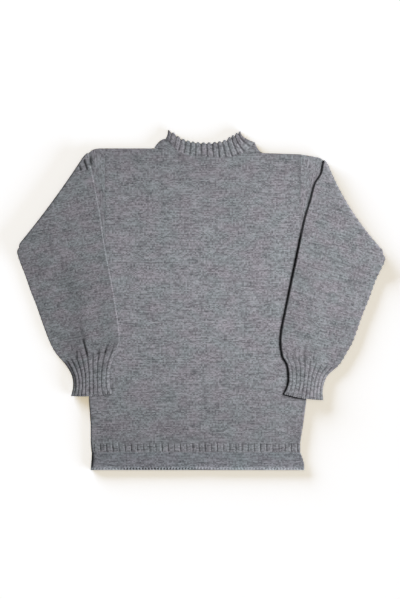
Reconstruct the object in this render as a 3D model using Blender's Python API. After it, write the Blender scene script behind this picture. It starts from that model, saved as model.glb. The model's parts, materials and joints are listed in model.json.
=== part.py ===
# A knitted fisherman's jumper, laid flat and face up, with both sleeves folded over its front.
# X runs to the right and Y up towards the collar, seen from above, and Z is up from the surface.
# Lengths are in millimetres until a mesh is made.

import bpy
import bmesh
import numpy as np

for item in list(bpy.data.objects):
    bpy.data.objects.remove(item, do_unlink=True)

MM = 0.001

# The cloth and how its layers lie
CLOTH = 2.35                  # thickness of the knitted cloth
GAP = 0.3                     # space between pieces that meet, and inside a flattened tube
LAYERS = 2 * CLOTH + GAP      # height of two cloths that lie on each other
LIFT = LAYERS + GAP           # height at which a folded sleeve lies on the body
HALF = LAYERS / 2
DRAPE_START = 4               # how far past its support a sleeve stays up
DRAPE_RUN = 45                # and over what distance it then comes down to the surface

# The body, from its hem to its shoulders
RIBS_TOP_Y = -315             # the band of short ribs ends here
UNDERARM_Y = 111
HEM_RIBS = 34
HEM_RIB_DEPTH = 1.0
HEM_COLUMNS = 10
SHOULDER_COLUMNS = 4
ARMHOLE_PARTS = [0.25, 0.5, 0.75]       # rows of the panels between the underarm and the shoulder
BODY_SIDES = [                # y, left x, right x
    (-337, -242.5, 220.5),
    (-315, -244.5, 220.5),
    (-275, -244.5, 227.0),
    (-222, -248.5, 234.0),
    (-155, -249.5, 235.0),
    (-88, -248.5, 237.5),
    (-25, -247.5, 239.0),
    (23, -246.0, 238.5),
    (60, -238.5, 233.0),
    (90, -225.0, 225.0),
    (111, -212.7, 220.7),
    (340, -212.7, 220.7),
]
WELT_SIDES = [                # y, left x, right x
    (-376.5, -244.5, 229.5),
    (-362, -243.5, 229.0),
    (-350, -242.5, 225.5),
    (-337, -242.0, 220.5),
]
FRONT_WAVES = [               # wave length across, its turn with y, depth
    (173.0, 0.0042, 0.20),
    (97.0, -0.0065, 0.14),
]

# The neck: the seam where the collar starts dips below a line between two corners
NECK_LEFT = (-78.0, 359.0)
NECK_RIGHT = (119.0, 351.0)
NECK_POWER = 3.5
FRONT_NECK_DIP = 38.0
BACK_NECK_DIP = 22.0
NECK_STEPS = 15
GUSSET_STEPS = 2              # steps of the seam that a neck gusset takes up at each side
SHOULDER_LEFT = (-105.0, 337.2)
SHOULDER_RIGHT = (139.0, 327.0)
ARMHOLE_TOP_LEFT = (-212.7, 337.2)
ARMHOLE_TOP_RIGHT = (220.7, 324.0)
GUSSET_BULGE = {"left": 5.0, "right": -6.0}
GUSSET_ROWS = 4               # rows of points from the shoulder's side to the collar's
GUSSET_START = 0.05           # where the first of them stands clear of the panel
GUSSET_FOLD = [               # share of the width in from the fold, the same in the hollow, half height
    (0.9, 0.9, HALF),
    (0.6, 0.6, HALF),
    (0.3, 0.3, HALF),
    (0.1, 0.17, HALF),
    (0.03, 0.14, 1.7),
    (0, 0.12, 0),
]
SEAM_GAP = 0.45               # space between the panels and the collar, up and down the photo's plane

# The collar
COLLAR_LEFT = (-73.0, 377.0)
COLLAR_RIGHT = (88.0, 374.5)
COLLAR_POWER = 2.4
COLLAR_DIP = 26.5
COLLAR_TIP = (0.955, 0.04, 3.3)         # place along the rim, width and height of its blunt right tip
COLLAR_FLARE = 2.3            # how much sooner its sides than its middle draw in above the seam
COLLAR_FLARE_POWER = 3        # and how closely that keeps to its sides
COLLAR_RIBS = 15
COLLAR_TURN = [               # a rib's place across the collar: even, along the rim, along the seam
    (0, 0, 0),
    (0.2, 0.207, 0.160),
    (0.4, 0.411, 0.362),
    (0.6, 0.645, 0.573),
    (0.8, 0.850, 0.790),
    (1, 1, 1),
]

# Ribs of the collar and the cuffs: place across one rib, part of the groove's depth
RIB_SHAPE = [(0.36, 0.0), (0.50, 1.0), (0.64, 0.0)]
RIB_RAISE = 0.3
RIB_DEPTH = 1.0
RIM_RELIEF = 0.5              # share of that relief left at a rim
CUFF_RIBS = 9
CUFF_RIM_SAG = 3.0            # how far the middle of a cuff's rim hangs below its ends
CUFF_STEPS = [0.006, 0.25, 0.5, 0.75, 0.93, 1]     # rings from the sleeve to the rim
CUFF_PLAIN_COLUMNS = 9
COLLAR_STEPS = [0, 0.3, 0.65, 0.93, 1]             # rings from the neck seam to the rim
COLLAR_PLAIN_COLUMNS = 13

# Sleeves: each edge is a list of x, y
SLEEVES = {
    "left": {
        "top_edge": [(-213, 337), (-227, 337), (-240, 334), (-250, 326)],
        "under_edge": [(-213, 111.5), (-277, 109), (-344, 107), (-384, 106), (-397, 109), (-402, 118)],
        "inner_edge": [(-250, 326), (-240, 278), (-228, 218), (-214, 127), (-199, 48), (-185, -37),
                       (-180, -85), (-187, -111)],
        "outer_edge": [(-402, 118), (-406.5, 103), (-401, 85), (-390.5, 58), (-376.5, 18), (-366, -8),
                       (-352, -48), (-337, -88), (-323, -115), (-302, -140)],
        "cuff_inner": [(-187, -111), (-196, -131), (-202, -159), (-202, -186), (-197, -206)],
        "cuff_outer": [(-302, -140), (-292, -155), (-286, -168), (-283.5, -182), (-284, -195), (-288, -212)],
        "underarm_corner": [(-213, 111), (-290, 107), (-249, 0)],
        "fold_bow": 3.0,
        "near_edge": [5.5, 9, 13.5, 18, 22.5, 27, 32, 38],
        "grooves": [              # from x, y, to x, y, half width, depth
            (-244, 318, -243, 296, 2.5, 1.0),
            (-260, 312, -253, 290, 3.0, 1.1),
            (-269, 299, -266, 288, 2.5, 0.8),
            (-267, -46, -257, -137, 5.0, 1.2),
            (-275, -105, -272, -139, 3.5, 0.9),
            (-225, -105, -232, -126, 3.5, 0.8),
            (-205, -95, -214, -119, 3.5, 0.8),
        ],
    },
    "right": {
        "top_edge": [(221, 324), (242, 320.5), (264, 316), (272.5, 303)],
        "under_edge": [(221, 111.5), (287, 105), (353, 99), (384, 97.5), (397, 98), (402.5, 104)],
        "inner_edge": [(272.5, 303), (265, 282), (252, 258), (242, 224), (228, 178), (211, 94), (194, 9),
                       (179, -65), (177, -99), (181, -124)],
        "outer_edge": [(402.5, 104), (408, 92), (400, 71), (387.5, 45), (373, 5), (357, -35), (338, -88),
                       (323.5, -115), (310, -138), (297, -152)],
        "cuff_inner": [(181, -124), (192, -144), (195, -175), (191, -193), (184, -207)],
        "cuff_outer": [(297, -152), (281, -167), (274, -182), (270.5, -197), (270, -208), (271.5, -221)],
        "underarm_corner": [(221, 111), (300, 104), (239, 0)],
        "fold_bow": 9.5,
        "near_edge": [],
        "grooves": [
            (206, -105, 211, -137, 3.5, 0.8),
            (229, -99, 229, -139, 4.0, 0.9),
            (251, -105, 249, -143, 3.5, 0.8),
        ],
    },
}
TOP_STEPS = [0, 0.3, 0.55, 0.8, 1]                 # places of the rings along the top edge
UNDER_STEPS = [0, 0.45, 0.87, 0.945, 1]            # and along the underarm edge, to the fold
FOLD_ANGLES = [45, 90, 135, 180]
INNER_STEPS = np.linspace(0, 1, 17)[1:]            # then along the inner edge
OUTER_STEPS = [0.055, 0.11] + list(np.linspace(0.165, 1, 14))
SEAM_PART = 0.9985                                 # where a sleeve stops short of its cuff

# Distance in from a panel's free edge, and the share of the cloth's thickness left there
PANEL_EDGE = [(0, 0.15), (0.9, 0.7), (2.6, 1)]
SEWN_EDGE = [0.7, 0.92, 1]                         # the same shares at a seam that shows
PANEL_INSETS = [inset for inset, share in PANEL_EDGE]
HEM_ROWS = [                                       # y, share of the thickness, of the ribs' depth
    (-376.5, 0.3, 0),
    (-375.3, 0.8, 0),
    (-373.3, 1, 0),
    (-352, 1, 0),
    (-337.15, 1, 0),
]
RIB_ROWS = [
    (-336.85, 1, 0),
    (-334, 1, 1),
    (-318, 1, 1),
    (-315.15, 1, 0),
]

# Columns across a flattened tube
EDGE_STEPS = [0, 0.8, HALF]                        # distance in from its rounded edge
SLOT_STEPS = [CLOTH, 2.6, 3.2]                     # the same for the hollow inside it
HELD_COLUMNS = 9                                   # across the part that something carries
HELD_LIMITS = (0.45, 0.8)                          # the least and most of a ring that counts as carried
BOW_RINGS = 4                                      # rings over which the fold's bow fades to either side
FREE_PARTS = [0.14, 0.3, 0.48, 0.72]               # shares of the part that hangs clear


def along(points, fractions):
    """Places at fractions of the length of a smooth curve through the points."""
    p = np.array(points, float)
    p = np.vstack([2 * p[0] - p[1], p, 2 * p[-1] - p[-2]])
    t = np.linspace(0, 1, 12, endpoint=False)[:, None]
    spans = []
    for a, b, c, d in zip(p, p[1:], p[2:], p[3:]):
        square = (2 * a - 5 * b + 4 * c - d) * t ** 2
        cube = (3 * b - 3 * c + d - a) * t ** 3
        spans.append(0.5 * (2 * b + (c - a) * t + square + cube))
    dense = np.vstack(spans + [p[-2:-1]])
    steps = np.linalg.norm(np.diff(dense, axis=0), axis=1)
    run = np.concatenate([[0], np.cumsum(steps)])
    wanted = np.array(fractions) * run[-1]
    return np.column_stack([np.interp(wanted, run, dense[:, k]) for k in (0, 1)])


def outside(places, outlines):
    """How far each place lies outside the nearest outline, or 0 inside one."""
    nearest = np.full(len(places), np.inf)
    for outline in outlines:
        a = np.array(outline, float)
        b = np.roll(a, -1, axis=0)
        edge = b - a
        reach = places[:, None] - a
        part = np.clip((reach * edge).sum(2) / (edge ** 2).sum(1), 0, 1)
        distance = np.linalg.norm(reach - part[..., None] * edge, axis=2).min(1)
        rise = np.where(edge[:, 1] == 0, 1, edge[:, 1])
        crossing = a[:, 0] + reach[..., 1] / rise * edge[:, 0]
        passes = (a[:, 1] > places[:, None, 1]) != (b[:, 1] > places[:, None, 1])
        within = (passes & (places[:, None, 0] < crossing)).sum(1) % 2 == 1
        nearest = np.minimum(nearest, np.where(within, 0, distance))
    return nearest


def smooth(value):
    """0 below 0, 1 above 1, and an even S between."""
    value = np.clip(value, 0, 1)
    return value * value * (3 - 2 * value)


def side_x(y, side, table):
    """The x of the left (1) or right (2) column of a table of sides at each y."""
    rows = np.array(table)
    return np.interp(y, rows[:, 0], rows[:, side])


def neck_seam(part, dip):
    """The seam under the collar: it dips from its two corners, and is straight between steps."""
    step = np.linspace(0, 1, NECK_STEPS + 1)
    left, right = np.array(NECK_LEFT), np.array(NECK_RIGHT)
    corners = left + (right - left) * step[:, None]
    corners[:, 1] -= dip * (1 - np.abs(2 * step - 1) ** NECK_POWER)
    return np.column_stack([np.interp(part, step, corners[:, k]) for k in (0, 1)])


def support(name):
    """Outlines of what a folded sleeve lies on: the body, its own part before the fold, and the
    corner under the arm, which the cloth bridges."""
    rows = [row for row in BODY_SIDES if row[0] <= 340]
    body = [(left, y) for y, left, right in rows] + [(right, y) for y, left, right in rows[::-1]]
    sleeve = SLEEVES[name]
    return [body, sleeve["top_edge"] + sleeve["under_edge"][::-1], sleeve["underarm_corner"]]


def drape(places, outlines):
    """Height of a folded sleeve's underside: on its support, or down on the surface beside it."""
    clear = outside(places, outlines) - DRAPE_START
    return LIFT * (1 - smooth(clear / DRAPE_RUN))


def groove_depth(places, grooves):
    """Depth of the pleats and gathers, each a soft trough about a straight line."""
    depth = np.zeros(len(places))
    for x0, y0, x1, y1, half_width, deep in grooves:
        start, way = np.array([x0, y0]), np.array([x1 - x0, y1 - y0])
        part = np.clip((places - start) @ way / (way @ way), 0, 1)
        distance = np.linalg.norm(places - start - part[:, None] * way, axis=1)
        depth = np.maximum(depth, deep * np.exp(-(distance / half_width) ** 2))
    return depth


def wool(name, shade):
    """Matt grey wool."""
    material = bpy.data.materials.new(name + "_wool")
    material.use_nodes = True
    shader = material.node_tree.nodes["Principled BSDF"]
    shader.inputs["Base Color"].default_value = (shade, shade * 1.01, shade * 1.05, 1)
    shader.inputs["Roughness"].default_value = 0.95
    shader.inputs["Metallic"].default_value = 0.0
    material.diffuse_color = (shade, shade * 1.01, shade * 1.05, 1)
    return material


def wall(name, outer, inner, ring, shade):
    """A closed wall between two grids of points, rows by columns. A ring's last column joins its first."""
    rows, columns = outer.shape[:2]
    points = np.concatenate([outer.reshape(-1, 3), inner.reshape(-1, 3)]) * MM
    back = rows * columns
    last = (rows - 1) * columns
    faces = []
    for c in range(columns if ring else columns - 1):
        d = (c + 1) % columns
        for r in range(0, back - columns, columns):
            faces.append((r + c, r + d, r + d + columns, r + c + columns))
            faces.append((back + r + c, back + r + c + columns, back + r + d + columns, back + r + d))
        faces.append((d, c, back + c, back + d))
        faces.append((last + c, last + d, back + last + d, back + last + c))
    if not ring:
        for r in range(0, back - columns, columns):
            e = r + columns - 1
            faces.append((r, r + columns, back + r + columns, back + r))
            faces.append((e + columns, e, back + e, back + e + columns))
    mesh = bpy.data.meshes.new(name)
    mesh.from_pydata(points.tolist(), [], faces)
    bm = bmesh.new()
    bm.from_mesh(mesh)
    bmesh.ops.recalc_face_normals(bm, faces=bm.faces)
    bm.to_mesh(mesh)
    bm.free()
    mesh.shade_smooth()
    mesh.materials.append(wool(name, shade))
    piece = bpy.data.objects.new(name, mesh)
    jumper.objects.link(piece)
    return piece


def edge_height(distance):
    """Half the height of a flattened tube, rounded over towards its edge."""
    inset = HALF - np.minimum(distance, HALF)
    return np.sqrt(HALF ** 2 - inset ** 2)


def mirrored(steps, width):
    return [width - step for step in reversed(steps)]


def ring_columns(held, width, extra):
    """Distances across a ring for its outer side and for its hollow."""
    first = HALF if not extra else extra[-1]
    middle = list(extra) + list(np.linspace(first, held, HELD_COLUMNS + 1)[1:])
    middle += [held + part * (width - HALF - held) for part in FREE_PARTS]
    outer = EDGE_STEPS + middle + mirrored(EDGE_STEPS, width)
    hollow = SLOT_STEPS + middle + mirrored(SLOT_STEPS, width)
    return np.array(outer), np.array(hollow)


def held_width(start, end, outlines):
    """How much of a ring's line, from its start, lies over what carries the sleeve."""
    width = np.linalg.norm(end - start)
    share = np.linspace(1, 0, 200)
    free = outside(start + (end - start) * share[:, None], outlines)
    crossing = width * share[np.argmax(free == 0)] + DRAPE_START
    return np.clip(crossing, HELD_LIMITS[0] * width, HELD_LIMITS[1] * width)


def on_line(start, end, distances, bow):
    """Places at distances along a ring's line, which may be bowed sideways."""
    way = end - start
    width = np.linalg.norm(way)
    normal = np.array([way[1], -way[0]]) / width
    part = distances / width
    return start + way * part[:, None] + normal * (4 * part * (1 - part) * bow)[:, None]


def sleeve_rings(name):
    """Start, end and fold angle of each ring, from the armhole over the fold to the cuff."""
    sleeve = SLEEVES[name]
    top = along(sleeve["top_edge"], TOP_STEPS)
    under = along(sleeve["under_edge"], UNDER_STEPS)
    inner = along(sleeve["inner_edge"], np.array(INNER_STEPS) * SEAM_PART)
    outer = along(sleeve["outer_edge"], np.array(OUTER_STEPS) * SEAM_PART)
    rings = [(a, b, 0) for a, b in zip(top, under)]
    rings += [(top[-1], under[-1], angle) for angle in FOLD_ANGLES]
    rings += [(a, b, 180) for a, b in zip(inner, outer)]
    return rings


def make_sleeve(name, shade):
    """A flattened tube from the armhole, turned over along the fold, then laid down to the cuff."""
    sleeve = SLEEVES[name]
    outlines = support(name)
    sign = -1 if name == "left" else 1
    way = np.array(sleeve["under_edge"][-1]) - np.array(sleeve["top_edge"][-1])
    away = sign * np.array([-way[1], way[0]]) / np.linalg.norm(way)
    fold = len(TOP_STEPS) - 1
    grids = ([], [])
    for k, (start, end, angle) in enumerate(sleeve_rings(name)):
        width = np.linalg.norm(end - start)
        held = held_width(start, end, outlines)
        bow_part = np.clip(1 - max(fold - k, k - fold - len(FOLD_ANGLES), 0) / BOW_RINGS, 0, 1)
        bow = sign * sleeve["fold_bow"] * bow_part
        upper = ring_columns(held, width, sleeve["near_edge"])
        lower = ring_columns(held, width, [])
        for grid, over, under in zip(grids, upper, lower):
            across = np.concatenate([over, under[-2:0:-1]])
            is_over = np.arange(len(across)) < len(over)
            places = on_line(start, end, across, bow)
            if grid is grids[0]:
                height = edge_height(np.minimum(across, width - across))
                if angle == 180:
                    height = height - is_over * np.minimum(groove_depth(places, sleeve["grooves"]), height / 2)
            else:
                height = np.where(np.minimum(across, width - across) < CLOTH + 0.01, 0, GAP / 2)
            height = np.where(is_over, -height, height)
            if angle == 0:
                z = HALF + height
            else:
                radius = HALF + GAP / 2 - height
                turn = np.radians(angle)
                places = places + away * (radius * np.sin(turn))[:, None]
                z = HALF + GAP / 2 + HALF - radius * np.cos(turn)
                if angle == 180:
                    z = z - LIFT + drape(places, outlines)
            grid.append(np.column_stack([places, z]))
    return wall("sleeve_" + name, np.array(grids[0]), np.array(grids[1]), True, shade)


def ribbed_columns(ribs, width):
    """Distances across ribs side by side, and the part of the groove's depth at each."""
    room = width - 2 * HALF
    across, depth = [], []
    for rib in range(ribs):
        for place, part in RIB_SHAPE:
            across.append(HALF + (rib + place) / ribs * room)
            depth.append(part)
    return across, depth


def make_cuff(name, shade):
    """A flattened ribbed tube: its ribs stand up on the side that shows, and its underside is plain."""
    sleeve = SLEEVES[name]
    outlines = support(name)
    inner_edge = along(sleeve["cuff_inner"], CUFF_STEPS)
    outer_edge = along(sleeve["cuff_outer"], CUFF_STEPS)
    grids = ([], [])
    for step, start, end in zip(CUFF_STEPS, inner_edge, outer_edge):
        width = np.linalg.norm(end - start)
        ribs, depth = ribbed_columns(CUFF_RIBS, width)
        plain = list(np.linspace(HALF, width - HALF, CUFF_PLAIN_COLUMNS + 1)[1:-1])
        over = EDGE_STEPS + ribs + mirrored(EDGE_STEPS, width)
        under = EDGE_STEPS + plain + mirrored(EDGE_STEPS, width)
        slot_over = SLOT_STEPS + ribs + mirrored(SLOT_STEPS, width)
        slot_under = SLOT_STEPS + plain + mirrored(SLOT_STEPS, width)
        relief = np.array([0, 0, 0] + [RIB_RAISE - RIB_DEPTH * part for part in depth] + [0, 0, 0])
        relief = relief * (RIM_RELIEF if step == 1 else 1)
        for grid, top, bottom in zip(grids, (over, slot_over), (under, slot_under)):
            across = np.array(top + bottom[-2:0:-1])
            is_over = np.arange(len(across)) < len(top)
            sag = -4 * CUFF_RIM_SAG * step * (across / width) * (1 - across / width)
            places = on_line(start, end, across, 0) + np.column_stack([0 * sag, sag])
            if grid is grids[0]:
                height = edge_height(np.minimum(across, width - across))
                height[:len(top)] += relief
            else:
                height = np.where(np.minimum(across, width - across) < CLOTH + 0.01, 0, GAP / 2)
            z = drape(places, outlines) + HALF + np.where(is_over, height, -height)
            grid.append(np.column_stack([places, z]))
    return wall("cuff_" + name, np.array(grids[0]), np.array(grids[1]), True, shade)


def make_collar(shade):
    """A flattened ribbed tube between the neck seam and a rim that dips in the middle."""
    grids = ([], [])
    span = NECK_RIGHT[0] - NECK_LEFT[0]
    ribs, depth = ribbed_columns(COLLAR_RIBS, span)
    plain = list(np.linspace(HALF, span - HALF, COLLAR_PLAIN_COLUMNS + 1)[1:-1])
    relief = np.array([0, 0, 0] + [RIB_RAISE - RIB_DEPTH * part for part in depth] + [0, 0, 0])
    left, right = np.array(COLLAR_LEFT), np.array(COLLAR_RIGHT)
    turn = np.array(COLLAR_TURN)
    even = turn[:, 0]
    tip_place, tip_width, tip_height = COLLAR_TIP
    for step in COLLAR_STEPS:
        for grid, edge in zip(grids, (EDGE_STEPS, SLOT_STEPS)):
            top = edge + ribs + mirrored(edge, span)
            bottom = edge + plain + mirrored(edge, span)
            across = np.array(top + bottom[-2:0:-1])
            is_over = np.arange(len(across)) < len(top)
            part, rim_part, seam_part = (np.interp(across / span, even, turn[:, k]) for k in range(3))
            front, behind = neck_seam(seam_part, FRONT_NECK_DIP), neck_seam(seam_part, BACK_NECK_DIP)
            seam = np.where(is_over[:, None], front, behind)
            rim = left + (right - left) * rim_part[:, None]
            rim[:, 1] -= COLLAR_DIP * (1 - np.abs(2 * rim_part - 1) ** COLLAR_POWER)
            rim[:, 1] += tip_height * np.exp(-((rim_part - tip_place) / tip_width) ** 2)
            flare = 1 + (COLLAR_FLARE - 1) * np.abs(2 * part - 1) ** COLLAR_FLARE_POWER
            x = rim[:, 0] + (seam[:, 0] - rim[:, 0]) * (1 - step) ** flare
            y = seam[:, 1] + (rim[:, 1] - seam[:, 1]) * step
            if grid is grids[0]:
                height = edge_height(np.minimum(across, span - across))
                height[:len(top)] += relief * (RIM_RELIEF if step == 1 else 1)
            else:
                height = np.where(np.minimum(across, span - across) < CLOTH + 0.01, 0, GAP / 2)
            grid.append(np.column_stack([x, y, HALF + np.where(is_over, height, -height)]))
    return wall("collar", np.array(grids[0]), np.array(grids[1]), True, shade)


def make_neck_gusset(name, shade):
    """A smooth triangle beside the collar, folded over at the shoulder so that it has two layers."""
    on_left = name == "left"
    corner = np.array(SHOULDER_LEFT if on_left else SHOULDER_RIGHT)
    aside = np.array([-GAP, -GAP]) if on_left else np.array([GAP, -GAP])
    in_from_fold, in_from_slot, outer_height = np.array(GUSSET_FOLD).T
    slot_height = np.where(outer_height > 0, GAP / 2, 0)
    grids = []
    for inward, height in ((in_from_fold, outer_height), (in_from_slot, slot_height)):
        layers = []
        for dip, sign in ((FRONT_NECK_DIP, 1), (BACK_NECK_DIP, -1)):
            steps = inward * GUSSET_STEPS / NECK_STEPS
            collar_side = neck_seam(steps if on_left else 1 - steps, dip) + aside
            tip = neck_seam([GUSSET_STEPS / NECK_STEPS if on_left else 1 - GUSSET_STEPS / NECK_STEPS], dip)
            panel_side = corner + (tip[0] - corner) * inward[:, None]
            rows = []
            for row in np.linspace(0, 1, GUSSET_ROWS):
                bulge = 4 * row * (1 - row) * GUSSET_BULGE[name] * (1 - inward)
                start = GUSSET_START + (1 - GUSSET_START) * row
                places = panel_side + (collar_side - panel_side) * start
                places[:, 1] += bulge + GAP * (1 - row)
                rows.append(np.column_stack([places, HALF + sign * height]))
            layers.append(np.array(rows))
        front, behind = layers
        grids.append(np.concatenate([front, behind[:, -2::-1]], axis=1))
    return wall("neck_gusset_" + name, grids[0], grids[1], False, shade)


def top_edge(dip):
    """The upper edge of a body panel: shoulders, the gussets' seams and the neck."""
    parts = np.linspace(0, 1, NECK_STEPS + 1)[GUSSET_STEPS:NECK_STEPS + 1 - GUSSET_STEPS]
    neck = neck_seam(parts, dip) - (0, SEAM_GAP)
    corners = [ARMHOLE_TOP_LEFT, SHOULDER_LEFT] + neck.tolist() + [SHOULDER_RIGHT, ARMHOLE_TOP_RIGHT]
    corners = np.array(corners)
    corners[1, 1] -= 0.1
    corners[-2, 1] -= 0.1
    return corners


def between_edges(left, right, share):
    """Places across a panel: a few in from each side edge, and the rest at shares of what is left."""
    inset = PANEL_INSETS[-1]
    middle = left + inset + (right - left - 2 * inset) * np.array(share)
    rim = np.array(PANEL_INSETS)
    return np.concatenate([left + rim, middle, right - rim[::-1]])


def make_layer(name, upper, x, y, fullness, sunk, shade):
    """One cloth of the body. The front lies over the back, and each is rounded on its outer side."""
    if upper:
        low = np.full(x.shape, CLOTH + GAP)
        high = low + CLOTH * fullness - sunk
    else:
        high = np.full(x.shape, CLOTH)
        low = CLOTH - CLOTH * fullness
    return wall(name, np.dstack([x, y, high]), np.dstack([x, y, low]), False, shade)


def make_panel(name, dip, upper, heights, shade):
    """Front or back of the body, from the band of ribs to the shoulders and the neck."""
    corners = top_edge(dip)
    left, right = corners[0, 0], corners[-1, 0]
    share = (np.concatenate([
        np.linspace(left, corners[1, 0], SHOULDER_COLUMNS + 1)[1:-1],
        corners[1:-1, 0],
        np.linspace(corners[-2, 0], right, SHOULDER_COLUMNS)[1:-1],
    ]) - left) / (right - left)
    tops = between_edges(left, right, share)
    top_y = np.interp(tops, corners[:, 0], corners[:, 1])
    rows = [np.full(len(tops), float(height)) for height in heights]
    below = top_y - PANEL_INSETS[-1]
    rows += [UNDERARM_Y + part * (below - UNDERARM_Y) for part in ARMHOLE_PARTS]
    rows += [top_y - inset for inset in PANEL_INSETS[::-1]]
    y = np.array(rows)
    x = np.array([between_edges(side_x(row[0], 1, BODY_SIDES), side_x(row[-1], 2, BODY_SIDES), share)
                  for row in y])
    is_armhole = y[:, 0] > UNDERARM_Y - 1
    on_shoulder = (tops <= SHOULDER_LEFT[0]) | (tops >= SHOULDER_RIGHT[0])
    fullness = np.ones(y.shape)
    for k, (inset, free) in enumerate(PANEL_EDGE):
        sewn = SEWN_EDGE[k] if upper else 1
        fullness[:, k] = fullness[:, -1 - k] = np.where(is_armhole, sewn, free)
    for k, (inset, free) in enumerate(PANEL_EDGE):
        sewn = SEWN_EDGE[k] if upper else 1
        fullness[-1 - k] = np.minimum(fullness[-1 - k], np.where(on_shoulder, free, sewn))
    sunk = sum(depth * (1 + np.sin(2 * np.pi * x / length + turn * y)) for length, turn, depth in FRONT_WAVES)
    return make_layer(name, upper, x, y, fullness, sunk * (fullness == 1), shade)


def make_band(name, upper, rows, sides, share, groove, shade):
    """A strip across the bottom of the body, at rows of heights, with grooves where it is ribbed."""
    edge = np.array([part for inset, part in PANEL_EDGE])
    across = np.concatenate([edge, np.ones(len(share)), edge[::-1]])
    depth = np.concatenate([0 * edge, groove, 0 * edge])
    x = np.array([between_edges(side_x(y, 1, sides), side_x(y, 2, sides), share) for y, full, relief in rows])
    y = np.array([[height] * len(across) for height, full, relief in rows])
    fullness = np.array([np.minimum(across, full) for height, full, relief in rows])
    sunk = np.array([depth * relief for height, full, relief in rows])
    return make_layer(name, upper, x, y, fullness, sunk, shade)


jumper = bpy.data.collections.new("jumper")
bpy.context.scene.collection.children.link(jumper)

low_rows = [row[0] for row in BODY_SIDES if RIBS_TOP_Y < row[0] <= UNDERARM_Y]
make_panel("back", BACK_NECK_DIP, False, [RIBS_TOP_Y + GAP / 2] + low_rows, 0.20)
make_panel("front", FRONT_NECK_DIP, True, [RIBS_TOP_Y + GAP / 2] + low_rows, 0.24)

rib_share, rib_groove = [], []
for rib in range(HEM_RIBS):
    for place, part in RIB_SHAPE:
        rib_share.append((rib + place) / HEM_RIBS)
        rib_groove.append(HEM_RIB_DEPTH * part)
plain_share = np.linspace(0, 1, HEM_COLUMNS)[1:-1]
plain = 0 * plain_share
make_band("hem_ribs_back", False, RIB_ROWS, BODY_SIDES, plain_share, plain, 0.19)
make_band("hem_ribs_front", True, RIB_ROWS, BODY_SIDES, rib_share, rib_groove, 0.22)
make_band("welt_back", False, HEM_ROWS, WELT_SIDES, plain_share, plain, 0.18)
make_band("welt_front", True, HEM_ROWS, WELT_SIDES, plain_share, plain, 0.20)

make_collar(0.22)
for side_name, side_shade in (("left", 0.18), ("right", 0.26)):
    make_neck_gusset(side_name, 0.23)
    make_sleeve(side_name, side_shade)
    make_cuff(side_name, side_shade)
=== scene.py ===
# A knitted wool jumper laid flat, face up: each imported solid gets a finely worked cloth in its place.
# X is right and Y is up in the photo's plane, Z is up from the surface. Sizes are in millimetres
# until a mesh is made.
import json

import bpy
import numpy as np
from numpy.linalg import norm
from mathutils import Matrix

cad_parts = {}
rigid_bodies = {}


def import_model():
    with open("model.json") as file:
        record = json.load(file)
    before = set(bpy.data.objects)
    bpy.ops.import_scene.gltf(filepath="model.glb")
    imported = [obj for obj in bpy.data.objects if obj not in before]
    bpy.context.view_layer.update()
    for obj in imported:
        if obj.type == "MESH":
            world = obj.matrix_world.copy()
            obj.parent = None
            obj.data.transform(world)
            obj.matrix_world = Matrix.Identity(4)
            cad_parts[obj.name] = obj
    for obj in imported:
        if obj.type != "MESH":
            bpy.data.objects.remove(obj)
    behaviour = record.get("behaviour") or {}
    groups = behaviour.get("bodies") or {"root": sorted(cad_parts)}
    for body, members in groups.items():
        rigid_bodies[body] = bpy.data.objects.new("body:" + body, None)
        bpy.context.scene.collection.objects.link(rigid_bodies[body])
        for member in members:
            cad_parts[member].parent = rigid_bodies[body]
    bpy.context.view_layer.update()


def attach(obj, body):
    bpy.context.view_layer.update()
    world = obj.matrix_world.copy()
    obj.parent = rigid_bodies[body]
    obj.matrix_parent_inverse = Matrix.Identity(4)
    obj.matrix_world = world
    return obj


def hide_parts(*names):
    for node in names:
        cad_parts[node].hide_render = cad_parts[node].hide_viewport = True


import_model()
mm = 0.001

cloth = {
    "thickness": 2.35,  # one layer of the knitting
    "gap": 0.3,  # between pieces that meet, and inside a flattened tube
    "drapeStart": 4,  # how far past its support a folded sleeve stays up
    "drapeRun": 45,  # and over what distance it comes down
    "wale": 3.4,  # width of a stitch
    "course": 2.35,  # height of a stitch
}
layers = 2 * cloth["thickness"] + cloth["gap"]
lift = layers + cloth["gap"]
half = layers / 2
upperFloor = cloth["thickness"] + cloth["gap"]  # underside of a front panel
sharpAngle = np.radians(55)  # a wall's rim is left crisp past this
curveSteps = 12  # points on a curve from one given point to the next


# Shape helpers

def smooth(value):
    # 0 below 0, 1 above 1, and an even S between
    value = np.clip(value, 0, 1)
    return value * value * (3 - 2 * value)


def bell(distance, width):
    # exp(-(distance / width)^2), 1 at the middle and near 0 past two widths
    return np.exp(-(distance / width) ** 2)


def ripples(x, y, seed, shortest, longest, stretch=1.0, count=14):
    # a sum of sine waves of random length and heading, with a spread of about 1;
    # stretch makes them longer along y
    draw = np.random.RandomState(seed)
    total = np.zeros(np.shape(x))
    for _ in range(count):
        length = draw.uniform(shortest, longest)
        heading = draw.uniform(0, np.pi)
        phase = draw.uniform(0, 2 * np.pi)
        run = x * np.cos(heading) + y * np.sin(heading) / stretch
        total += np.sin(2 * np.pi * run / length + phase)
    return total / np.sqrt(count / 2)


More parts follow.
